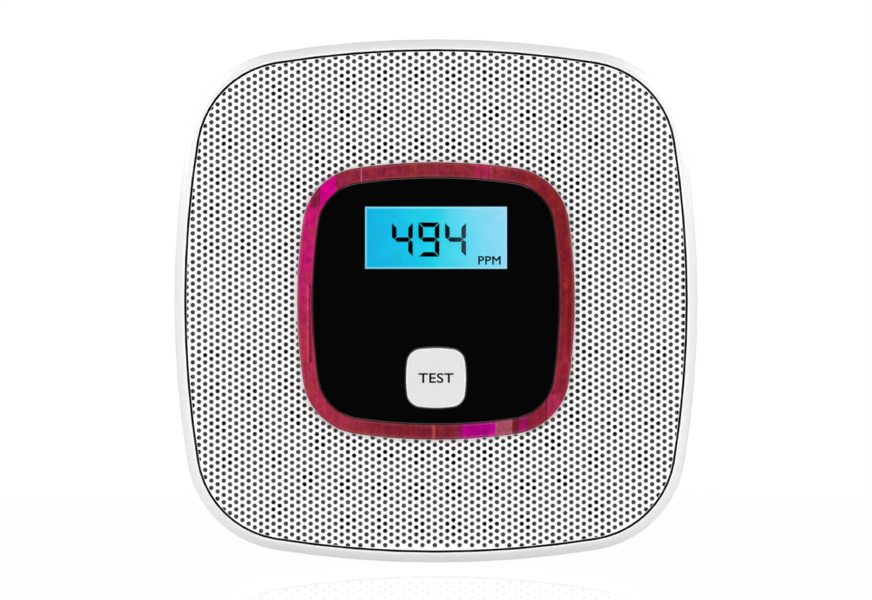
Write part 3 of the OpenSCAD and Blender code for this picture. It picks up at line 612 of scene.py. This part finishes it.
# upright stripes of reflected light: from x in mm, the colour, and how strongly it covers the body colour
topStripes = [
    (-30, bare), (-26.4, (0.14, 0.01, 0.02, 0.7)), (-24.2, (0.55, 0, 0.21, 1)), (-21.3, bare),
    (-15.8, (0.55, 0.09, 0.28, 0.95)), (-15.5, bare), (8.3, (0.38, 0.012, 0.1, 0.75)),
    (9.3, (0.3, 0.03, 0.03, 0.4)), (9.9, (0.42, 0.012, 0.12, 0.85)), (10.7, (0.3, 0.03, 0.03, 0.4)),
    (11.1, (0.34, 0.03, 0.07, 0.7)), (11.7, bare), (15.5, (0.12, 0.01, 0.02, 0.4)), (17.5, bare),
]
bottomStripes = [
    (-30, bare), (-0.75, (0.45, 0.07, 0.09, 0.7)), (-0.45, bare), (4.5, (0.25, 0.005, 0.1, 0.7)),
    (5.5, (0.42, 0.001, 0.23, 1)), (6.4, (0.34, 0, 0.17, 1)), (10.9, (0.43, 0.002, 0.23, 1)),
    (12.3, (0.32, 0.065, 0.1, 0.95)), (15.9, (0.13, 0.008, 0.016, 0.8)),
    (17.3, (0.3, 0.005, 0.1, 0.85)), (19.1, bare), (22.9, (0.08, 0.004, 0.02, 0.7)),
    (23.15, (0.36, 0.025, 0.08, 0.7)), (26, bare),
]
sideStripes = [
    (-30, bare), (-27.1, (0.6, 0.09, 0.17, 0.7)), (-26.75, bare), (-26.5, (0.13, 0.005, 0.02, 0.7)),
    (-26.0, bare), (25.8, (0.07, 0.012, 0.02, 0.5)), (26.2, bare), (27.0, (0.36, 0.03, 0.02, 0.5)),
    (27.4, (0.1, 0.005, 0.01, 0.35)), (27.9, bare),
]
stripeSpan = 30    # mm from the middle to the ends of the stripes' ramps
stripeHeights = [(topStripes, 19.6, 50), (bottomStripes, -50, -19.6), (sideStripes, -12.9, 3.4)]    # z in mm


def ringFinish():
    # clear crimson acrylic, with streaks, and painted reflections in stripes; all run upright, whichever way
    # the ring turns
    finish = Finish("crimsonAcrylic", Specular_IOR_Level=0.1, Coat_Weight=0.08, Coat_Roughness=0.05,
                    Emission_Strength=ringLook["glow"])
    along, across = finish.splitRound()
    x, z = finish.axes()[::2]
    tone = finish.rampRound(along, ringTones)
    upright = finish.node("ShaderNodeMapping", None, {"Vector": finish.place(), "Scale": (1, 1, 0.05)})
    streaks = finish.noise(1500.0, 3.0, 0.6, upright)
    mottle = finish.noise(900.0, 4.0, 0.7)
    blotch = finish.noise(300.0, 5.0, 0.75)
    tone = finish.mix(finish.limits(blotch, 0.52, 0.66, 0.0, 0.45), tone, (0.3, 0.035, 0.018, 1))
    tone = finish.mix(finish.limits(blotch, 0.46, 0.34, 0.0, 0.45), tone, (0.12, 0.007, 0.03, 1))
    # the stripes are painted reflections, laid over the colour where each row of them stands
    for stripes, low, high in stripeHeights:
        fromMiddle = finish.math("ABSOLUTE", z / mm - (low + high) / 2)
        inside = finish.math("LESS_THAN", fromMiddle, (high - low) / 2)
        stops = [((start + stripeSpan) / (2 * stripeSpan), colour) for start, colour in stripes]
        shown = finish.ramp((x / mm + stripeSpan) / (2 * stripeSpan), stops, "CONSTANT")
        strength = Wire(finish, shown.socket.node.outputs["Alpha"])
        tone = finish.mix(inside * strength, tone, shown)
    # painted shade deepens the outer edge, and a painted highlight brightens the inner one
    tone = finish.mix(finish.limits(across, 0.08, 0.0) * 0.4, tone, (0.1, 0.005, 0.012, 1))
    tone = finish.mix(finish.limits(across, 0.93, 1.0) * 0.35, tone, (0.35, 0.05, 0.08, 1))
    shades = finish.factorColour(finish.limits(streaks * 0.6 + mottle, 0.55, 1.05, 0.68, 1.18))
    tone = finish.mix(1.0, tone, shades, "MULTIPLY")
    finish.feed("Base Color", tone)
    finish.feed("Emission Color", tone)
    finish.feed("Roughness", finish.limits(mottle, 0.3, 0.8, 0.1, 0.25))
    finish.bump(streaks, 0.012 * mm)
    return finish


def makeRing():
    back, front = depthRange("light_ring")
    band, crown, arch, lip, flange, flangeThick, shelf, shelfThick, shelfGap, wall = (
        ringLook[key] * mm for key in ("band", "crown", "arch", "lip", "flange", "flangeThick", "shelf",
                                       "shelfThick", "shelfGap", "wall"))
    shelfTop = depthRange("display_panel")[0] - shelfGap
    foot = front - crown - arch
    # the section, as inset from the outline and depth: out round the flange, over the crown, back inside
    section = [(-flange, back), (-flange, back + flangeThick), (0, back + flangeThick), (0, foot - lip)]
    steps = 12
    for step in range(steps):
        angle = math.pi * step / steps
        rise = (crown + arch) * math.sin(angle) ** ringLook["fullness"]
        section.append((band / 2 * (1 - math.cos(angle)), foot + rise))
    section += [(band, shelfTop), (band + shelf, shelfTop), (band + shelf, shelfTop - shelfThick),
                (band + wall, shelfTop - shelfThick), (band + wall, back)]
    bm = bmesh.new()
    loft(bm, [pillowLoop(bm, ringShape, inset, depth, *ringSteps) for inset, depth in section], closed=True)
    roundMap = bm.loops.layers.uv.new("round")
    for face in bm.faces:
        turns = [math.atan2(loop.vert.co.y, loop.vert.co.x) / math.tau % 1.0 for loop in face.loops]
        wraps = max(turns) - min(turns) > 0.5
        for loop, turn in zip(face.loops, turns):
            inset = -pillowDistance(loop.vert.co.x, loop.vert.co.y, ringShape)[0]
            loop[roundMap].uv = (turn + 1.0 if wraps and turn < 0.5 else turn, inset / band)
    finishPiece("lightRing", bm, "alarm", ringFinish(), "ring_red", ["light_ring"], 40.0)


makeRing()
print("ring done")


# black panel

panelLook = {"edge": 0.096, "gap": 0.1, "buttonGap": 0.2}    # mm


def makePanel():
    back, front = depthRange("display_panel")
    windowLow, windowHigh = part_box("lcd_window")
    edge, gap, buttonGap = (size * mm for size in panelLook.values())
    width, height = windowHigh.x - windowLow.x + gap, windowHigh.z - windowLow.z + gap
    bm = bmesh.new()
    loops = [
        pillowLoop(bm, ringShape, ringLook["band"] * mm + gap, 0, *ringSteps),
        boxLoop(bm, faceCentre("lcd_window"), width, height),
        pillowLoop(bm, buttonShape, -buttonGap, 0, *buttonSteps, faceCentre("tact_switch")),
    ]
    plate(bm, loops, front - back)
    bmesh.ops.translate(bm, verts=bm.verts, vec=(0, 0, back))
    softenFront(bm, front, edge)
    # the front shades flat up to its rounded edge, so that the gloss stays even
    finishPiece("blackPanel", bm, "alarm", blackPanelFinish(), "panel_black", ["display_panel"], 12.0)


makePanel()
print("panel done")


# display

displayLook = {"digits": "494", "height": 7.18, "width": 4.4, "pitch": 5.57, "stroke": 0.98, "gap": 0.1,
               "left": -9.25, "bottom": 9.25, "thick": 0.03, "unitIn": 3.55, "unitUp": 1.7}    # mm
unitLetters = {"words": "PPM", "height": 1.8, "thick": 0.03,    # mm
               "spread": 1.06, "squeeze": 1.08, "weight": 0.02}
# the backlight's colour, from the left of the window to the right
glassTones = [
    (0.0, (0.0, 0.4, 0.72)), (0.2, (0.0, 0.46, 0.75)), (0.5, (0.008, 0.58, 0.76)),
    (0.72, (0.1, 0.64, 0.82)), (1.0, (0.36, 0.67, 0.88)),
]
segmentsOn = {"4": "fgbc", "9": "abcdfg"}


def displayFinish():
    # the backlit glass: deep cyan at the left, pale at the right, with a paler line just inside the frame
    finish = Finish("litDisplay", Roughness=0.5, Specular_IOR_Level=0.0, Emission_Strength=1.0)
    finish.shader.inputs["Base Color"].default_value = (0.01, 0.05, 0.06, 1)
    x, z = finish.axes()[::2]
    low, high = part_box("lcd_window")
    centre = (low + high) / 2
    drift = finish.noise(90.0, 5.0, 0.65)
    place = (x + (drift - 0.5) * (16 * mm) + (z - centre.z) * 0.25 - low.x) / (high.x - low.x)
    tone = finish.ramp(place, glassTones)
    grain = finish.noise(1500.0, 2.0)
    tone = finish.mix(grain * 0.08, tone, (0.02, 0.85, 0.9, 1))
    mottle = finish.limits(finish.noise(420.0, 4.0, 0.7), 0.5, 0.75)
    tone = finish.mix(mottle * finish.limits(place, 0.75, 0.3) * 0.35, tone, (0.01, 0.36, 0.45, 1))
    sideRoom = (high.x - centre.x) - finish.math("ABSOLUTE", x - centre.x)
    topRoom = (high.z - centre.z) - finish.math("ABSOLUTE", z - centre.z)
    edge = finish.limits(finish.math("MINIMUM", sideRoom, topRoom), 0.38 * mm, 0.12 * mm)
    finish.feed("Emission Color", finish.mix(edge * 0.5, tone, (0.4, 0.86, 0.97, 1)))
    return finish


def inkFinish():
    # liquid crystal that is switched on: black, thinning to slate towards the right
    finish = Finish("crystalInk", Roughness=0.6, Specular_IOR_Level=0.0)
    x = finish.axes()[0]
    fade = finish.limits(x, 1.0 * mm, 6.0 * mm) * finish.limits(x, 8.5 * mm, 7.5 * mm)
    grain = finish.noise(900.0, 2.0)
    tone = finish.mix(fade, grey(0.0008), (0.03, 0.045, 0.065, 1))
    finish.feed("Base Color", finish.mix(grain * 0.15, tone, (0.005, 0.02, 0.03, 1)))
    return finish


def segmentOutline(which):
    # corners of one of the seven strokes of a digit, its ends mitred
    width, height, stroke, gap = (displayLook[key] * mm for key in ("width", "height", "stroke", "gap"))
    middle = height / 2
    if which in "ad":
        outline = [(gap, height), (width - gap, height), (width - stroke - gap, height - stroke),
                   (stroke + gap, height - stroke)]
        return outline if which == "a" else [(x, height - y) for x, y in reversed(outline)]
    if which == "g":
        half = stroke / 2
        left, right = gap + stroke, width - gap - stroke
        return [(gap + half, middle), (left, middle + half), (right, middle + half),
                (width - gap - half, middle), (right, middle - half), (left, middle - half)]
    outline = [(0, height - gap), (stroke, height - stroke - gap), (stroke, middle + (stroke + gap) / 2),
               (stroke / 2, middle + gap / 2), (0, middle + stroke / 2)]
    if which in "bc":
        outline = [(width - x, y) for x, y in reversed(outline)]
    if which in "ec":
        outline = [(x, height - y) for x, y in reversed(outline)]
    return outline


def makeDigits():
    front = depthRange("lcd_front_glass")[1]
    first, pitch, bottom, thick = (displayLook[key] * mm for key in ("left", "pitch", "bottom", "thick"))
    bm = bmesh.new()
    for place, digit in enumerate(displayLook["digits"]):
        left = first + place * pitch
        for which in segmentsOn[digit]:
            corners = [bm.verts.new((left + x, bottom + y, front)) for x, y in segmentOutline(which)]
            bmesh.ops.contextual_create(bm, geom=corners)
    thicken(bm, bm.faces[:], thick)
    finishPiece("displayDigits", bm, "alarm", inkFinish(), "lcd_cyan")


def lettering(name, letters, centre, depth, body, look, slot):
    # flat lettering, centred on a point of the front; spread parts the letters, squeeze widens them and
    # weight makes them bolder
    curve = bpy.data.curves.new(name, "FONT")
    curve.body = letters["words"]
    curve.align_x = "CENTER"
    curve.align_y = "CENTER"
    curve.space_character = letters["spread"]
    curve.extrude = 0.01
    curve.bevel_depth = letters["weight"]
    curve.bevel_resolution = 0
    curve.resolution_u = 6
    text = bpy.data.objects.new(name, curve)
    bpy.context.scene.collection.objects.link(text)
    bpy.context.view_layer.update()
    mesh = bpy.data.meshes.new_from_object(text.evaluated_get(bpy.context.evaluated_depsgraph_get()))
    bpy.data.objects.remove(text)
    bm = bmesh.new()
    bm.from_mesh(mesh)
    bpy.data.meshes.remove(mesh)
    bmesh.ops.remove_doubles(bm, verts=bm.verts, dist=1e-5)
    low = Vector([min(v.co[axis] for v in bm.verts) for axis in range(3)])
    high = Vector([max(v.co[axis] for v in bm.verts) for axis in range(3)])
    tall, thick = (letters[key] * mm for key in ("height", "thick"))
    factor = tall / (high.y - low.y)
    size = Vector((factor * letters["squeeze"], factor, thick / (high.z - low.z)))
    bmesh.ops.translate(bm, verts=bm.verts, vec=-(low + high) / 2)
    bmesh.ops.scale(bm, verts=bm.verts, vec=size)
    bmesh.ops.translate(bm, verts=bm.verts, vec=(*centre, depth + thick / 2))
    finishPiece(name, bm, body, look, slot)


def windowFinish():
    # clear cover over the display
    finish = Finish("clearWindow", Transmission_Weight=1.0, IOR=1.1, Specular_IOR_Level=0.2)
    dust = finish.noise(400.0, 5.0, 0.7)
    finish.feed("Base Color", finish.mix(dust, (0.97, 0.99, 1, 1), (1, 1, 1, 1)))
    finish.feed("Roughness", finish.limits(dust, 0.4, 0.9, 0.0, 0.04))
    return finish


paint("lcd_front_glass", displayFinish())
paint("lcd_window", windowFinish())
makeDigits()
windowLow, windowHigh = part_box("lcd_window")
unitPlace = (windowHigh.x - displayLook["unitIn"] * mm, windowLow.z + displayLook["unitUp"] * mm)
lettering("displayUnit", unitLetters, unitPlace, depthRange("lcd_front_glass")[1], "alarm", inkFinish(),
          "lcd_cyan")
print("display done")


# test button

# the last but one is the depth over which the painted highlight on the edge fades in
buttonLook = {"crown": 0.16, "edge": 0.4, "middle": 0.2, "skirt": 3.6, "flange": 0.8, "flangeTop": 3.0,
              "flangeLow": 4.3, "stem": 1.6, "paintedHighlight": 0.18, "inkSunk": 0.1}    # mm
buttonTone = 0.71
buttonLetters = {"words": "TEST", "height": 2.3, "thick": 0.12,    # mm
                 "spread": 1.05, "squeeze": 1.15, "weight": 0.055}


def buttonFinish():
    # light grey plastic, with a painted highlight: paler round the edge
    finish = plasticFinish("buttonGrey", grey(buttonTone), 0.32, 0.004, drift=0.01, marking=0.02,
                           Coat_Weight=0.2)
    depth = finish.axes()[1]
    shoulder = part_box("test_button")[0].y + buttonLook["crown"] * mm
    # painted highlight: the rounded edge behind the crown is painted white
    edge = finish.limits(depth, shoulder, shoulder + buttonLook["paintedHighlight"] * mm)
    finish.feed("Base Color", finish.mix(edge, finish.tint(), grey(1.0)))
    return finish


def makeButton():
    back, front = depthRange("test_button")
    centre = faceCentre("tact_switch")
    crown, edge, middle, skirt, flange, flangeTop, flangeLow, stem = (buttonLook[key] * mm for key in (
        "crown", "edge", "middle", "skirt", "flange", "flangeTop", "flangeLow", "stem"))
    shoulder = front - crown - edge
    section = [(0, front - skirt), (0, shoulder)]
    edgeSteps = 6
    for step in range(1, edgeSteps + 1):
        angle = math.radians(90 * step / edgeSteps)
        section.append((edge * (1 - math.cos(angle)), shoulder + edge * math.sin(angle)))
    domeSteps = 5
    for step in range(1, domeSteps + 1):
        # a shallow dome from the rounded edge to the middle
        t = step / domeSteps
        inset = edge + t * (buttonShape["cornerR"] - middle - edge)
        section.append((inset, front - crown * (1 - t) ** 2))

    def loopAt(inset, depth):
        return pillowLoop(bm, buttonShape, inset, depth, *buttonSteps, centre)

    bm = bmesh.new()
    cap = [loopAt(inset, depth) for inset, depth in section]
    # flange that keeps it in, and the stem that reaches the switch
    flangeLoops = [loopAt(-flange, front - flangeLow), loopAt(-flange, front - flangeTop)]
    for loops in (cap, flangeLoops):
        loft(bm, loops)
        capLoop(bm, loops[0])
        capLoop(bm, loops[-1])
    stemLength = front - flangeLow - back
    bmesh.ops.create_cone(bm, cap_ends=True, segments=32, radius1=stem, radius2=stem, depth=stemLength,
                          matrix=Matrix.Translation((*centre, back + stemLength / 2)))
    finishPiece("testButton", bm, "button", buttonFinish(), "button_grey", ["test_button"])


def printFinish():
    # black pad printing, a little worn
    finish = Finish("buttonInk", Roughness=0.6, Specular_IOR_Level=0.1)
    worn = finish.noise(1400.0, 4.0, 0.7)
    finish.feed("Base Color", finish.mix(finish.limits(worn, 0.55, 0.8), grey(0.006), grey(0.03)))
    return finish


makeButton()
inkDepth = depthRange("test_button")[1] - buttonLook["inkSunk"] * mm
lettering("buttonWord", buttonLetters, faceCentre("tact_switch"), inkDepth, "button", printFinish(),
          "button_grey")
print("button done")


# what is inside, seen when the battery door is off

nickel = metalFinish("contactNickel", (0.7, 0.69, 0.64), 0.22, (1, 1, 6))
insideFinishes = [
    (rubberFinish("gasketFoam", grey(0.02)), ["lcd_gasket"]),
    (plasticFinish("rearGlass", (0.5, 0.7, 0.75), 0.1, 0.002), ["lcd_rear_glass"]),
    (plasticFinish("lightGuide", (0.8, 0.9, 0.95), 0.15, 0.004), ["lcd_backlight"]),
    (rubberFinish("zebraStrip", (0.6, 0.25, 0.27), 0.6, 0.5), ["lcd_connector"]),
    (plasticFinish("chassisGrey", grey(0.03), 0.5), ["display_chassis"]),
    (metalFinish("switchShell", (0.6, 0.6, 0.58)), ["tact_switch"]),
    (plasticFinish("plungerBlack", grey(0.01), 0.4), ["switch_plunger"]),
    (boardFinish(), ["main_pcb", "siren_base"]),
    (plasticFinish("chipEpoxy", grey(0.02), 0.55, 0.02, 0.1), ["mcu_chip", "voice_chip"]),
    (plasticFinish("chipCeramic", (0.35, 0.23, 0.13), 0.5, 0.01), ["smd_parts"]),
    (metalFinish("capacitorCan", (0.75, 0.75, 0.77), 0.25, (1, 1, 8)), ["electrolytic_caps"]),
    (plasticFinish("diodeLens", (0.85, 0.8, 0.6), 0.3), ["ring_leds"]),
    (plasticFinish("connectorNylon", (0.75, 0.72, 0.62), 0.45), ["wire_connectors"]),
    (metalFinish("sensorCan", (0.66, 0.67, 0.68), 0.28, (1, 8, 1)), ["co_sensor"]),
    (paperFinish("filterFelt", grey(0.8)), ["sensor_filter"]),
    (rubberFinish("sealFoam", grey(0.03), 0.9, 0.5), ["sensor_seal"]),
    (plasticFinish("sirenBlack", grey(0.012), 0.5), ["siren_housing"]),
    (metalFinish("piezoBrass", (0.72, 0.5, 0.2), 0.25, (1, 1, 4)), ["piezo_disc"]),
    (metalFinish("basketSteel", (0.6, 0.6, 0.6)), ["speaker_basket", "speaker_magnet"]),
    (paperFinish("coneCard", grey(0.02)), ["speaker_cone"]),
    (nickel, ["positive_terminal", "negative_terminal", "link_contacts"]),
    (metalFinish("screwZinc", (0.62, 0.62, 0.6), 0.3, (4, 4, 1)), ["case_screws", "pcb_screws"]),
]
for look, nodes in insideFinishes:
    for node in nodes:
        paint(node, look)
redInsulation = rubberFinish("redInsulation", (0.35, 0.01, 0.01), 0.45, 0.2, 0.01)
blackInsulation = rubberFinish("blackInsulation", grey(0.01), 0.45, 0.2, 0.01)
for node in ("speaker_wires", "siren_wires", "battery_wire_red"):
    smoothCopy(node, redInsulation)
smoothCopy("battery_wire_black", blackInsulation)
smoothCopy("battery_springs", nickel)


# batteries

cellLook = {"sleeve": (0.012, 0.012, 0.014), "band": (0.55, 0.24, 0.06), "bandShare": 0.3}
cellPointsUp = {"battery_cell_1": True, "battery_cell_2": False, "battery_cell_3": True}


def cellFinish(node):
    # printed sleeve, black with a copper band at the positive end, over a bright steel can
    low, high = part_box(node)
    finish = Finish(node + "Sleeve", Coat_Weight=0.3)
    z = finish.axes()[2]
    length = high.z - low.z
    height = (z - low.z) / length if cellPointsUp[node] else (high.z - z) / length
    edge = 1 - cellLook["bandShare"]
    band = finish.limits(height, edge - 0.003, edge + 0.003)
    scuffs = finish.noise(220.0, 5.0, 0.7)
    sleeve = finish.mix(band, (*cellLook["sleeve"], 1), (*cellLook["band"], 1))
    sleeve = finish.mix(finish.limits(scuffs, 0.6, 0.8) * 0.15, sleeve, grey(0.4))
    ends = finish.math("MAXIMUM", finish.limits(height, 0.967, 0.97), finish.limits(height, 0.006, 0.004))
    finish.feed("Base Color", finish.mix(ends, sleeve, grey(0.7)))
    finish.feed("Metallic", finish.math("MAXIMUM", ends, band * 0.7))
    finish.feed("Roughness", finish.limits(scuffs, 0.3, 0.7, 0.22, 0.34))
    finish.bump(scuffs, 0.01 * mm)
    return finish


for node in cellPointsUp:
    paint(node, cellFinish(node))
print("inside done")


# studio

studio = {"lens": 200.0, "widthShare": 0.5722, "surround": 0.5, "floorLight": 0.4, "mirror": 0.16,
          "rise": 0.19, "floorGap": 0.1,    # mm
          "floorHalf": 4.0, "mirrorNear": 0.15, "mirrorFar": 0.45,    # m
          "darkCone": 16, "openCone": 34}    # degrees round the camera
softboxes = [
    # name, degrees round from the front, degrees up, distance and size in m, watts
    ("leftBox", -54, 4, 0.9, 0.5, 3.1),
    ("rightBox", 54, 4, 0.9, 0.5, 3.1),
    ("topBox", 0, 44, 0.9, 0.5, 2.0),
    ("lowBox", 0, -40, 0.9, 0.5, 1.7),
    ("backLeftBox", -140, 25, 1.0, 0.7, 2.0),
    ("backRightBox", 140, 25, 1.0, 0.7, 2.0),
]


def addLight(name, azimuth, elevation, distance, size, watts):
    lamp = bpy.data.lights.new(name, "AREA")
    lamp.shape = "SQUARE"
    lamp.size = size
    lamp.energy = watts
    light = bpy.data.objects.new(name, lamp)
    a, e = math.radians(azimuth), math.radians(elevation)
    way = Vector((math.sin(a) * math.cos(e), -math.cos(a) * math.cos(e), math.sin(e)))
    light.location = way * distance
    light.rotation_euler = way.to_track_quat("Z", "Y").to_euler()
    bpy.context.scene.collection.objects.link(light)


def addFloor():
    # pale floor that mirrors faintly, and is clear enough to show the battery door sliding out below it
    bm = bmesh.new()
    bmesh.ops.create_grid(bm, x_segments=1, y_segments=1, size=studio["floorHalf"])
    bmesh.ops.translate(bm, verts=bm.verts, vec=(0, 0, cadBox[0].z - studio["floorGap"] * mm))
    mesh = bpy.data.meshes.new("floor")
    bm.to_mesh(mesh)
    bm.free()
    floor = bpy.data.objects.new("floor", mesh)
    bpy.context.scene.collection.objects.link(floor)
    look = Finish("paleFloor", Metallic=1.0, Roughness=0.03, Emission_Strength=studio["floorLight"])
    look.shader.inputs["Emission Color"].default_value = grey(1.0)
    look.feed("Base Color", look.mix(look.noise(3.0, 2.0), grey(0.98), grey(1.0)))
    away = look.node("ShaderNodeVectorMath", {"operation": "LENGTH"}, {0: look.place()}, output="Value")
    look.feed("Alpha", look.limits(away, studio["mirrorFar"], studio["mirrorNear"], 0.0, studio["mirror"]))
    mesh.materials.append(look.material)


def addSurround():
    # white to the camera; as a light it is softer, and dark behind the camera to keep the black gloss black
    world = bpy.data.worlds.new("surround")
    bpy.context.scene.world = world
    sky = Nodes(world)
    way = sky.node("ShaderNodeTexCoord", output="Generated")
    toCamera = (0, -1, 0)
    facing = sky.node("ShaderNodeVectorMath", {"operation": "DOT_PRODUCT"}, {0: way, 1: toCamera},
                      output="Value")
    dark, clear = (math.cos(math.radians(studio[key])) for key in ("darkCone", "openCone"))
    soft = sky.limits(facing, clear, dark, studio["surround"], 0.0)
    seen = sky.node("ShaderNodeLightPath", output="Is Camera Ray")
    level = sky.mix(seen, sky.factorColour(soft), grey(1.0))
    sky.tree.links.new(level.socket, sky.tree.nodes["Background"].inputs["Color"])


def addCamera():
    # straight on, with the perforated front taking up widthShare of the view
    camera = bpy.data.cameras.new("camera")
    camera.lens = studio["lens"]
    low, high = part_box("front_grille")
    distance = (high.x - low.x) / studio["widthShare"] * camera.lens / camera.sensor_width
    view = bpy.data.objects.new("camera", camera)
    view.location = (0, low.y - distance, studio["rise"] * mm)
    view.rotation_euler = (math.radians(90), 0, 0)
    camera.clip_start = 0.01
    bpy.context.scene.collection.objects.link(view)
    bpy.context.scene.camera = view
    bpy.context.scene.view_settings.view_transform = "Standard"


for box in softboxes:
    addLight(*box)
addFloor()
addSurround()
addCamera()
print("studio done")
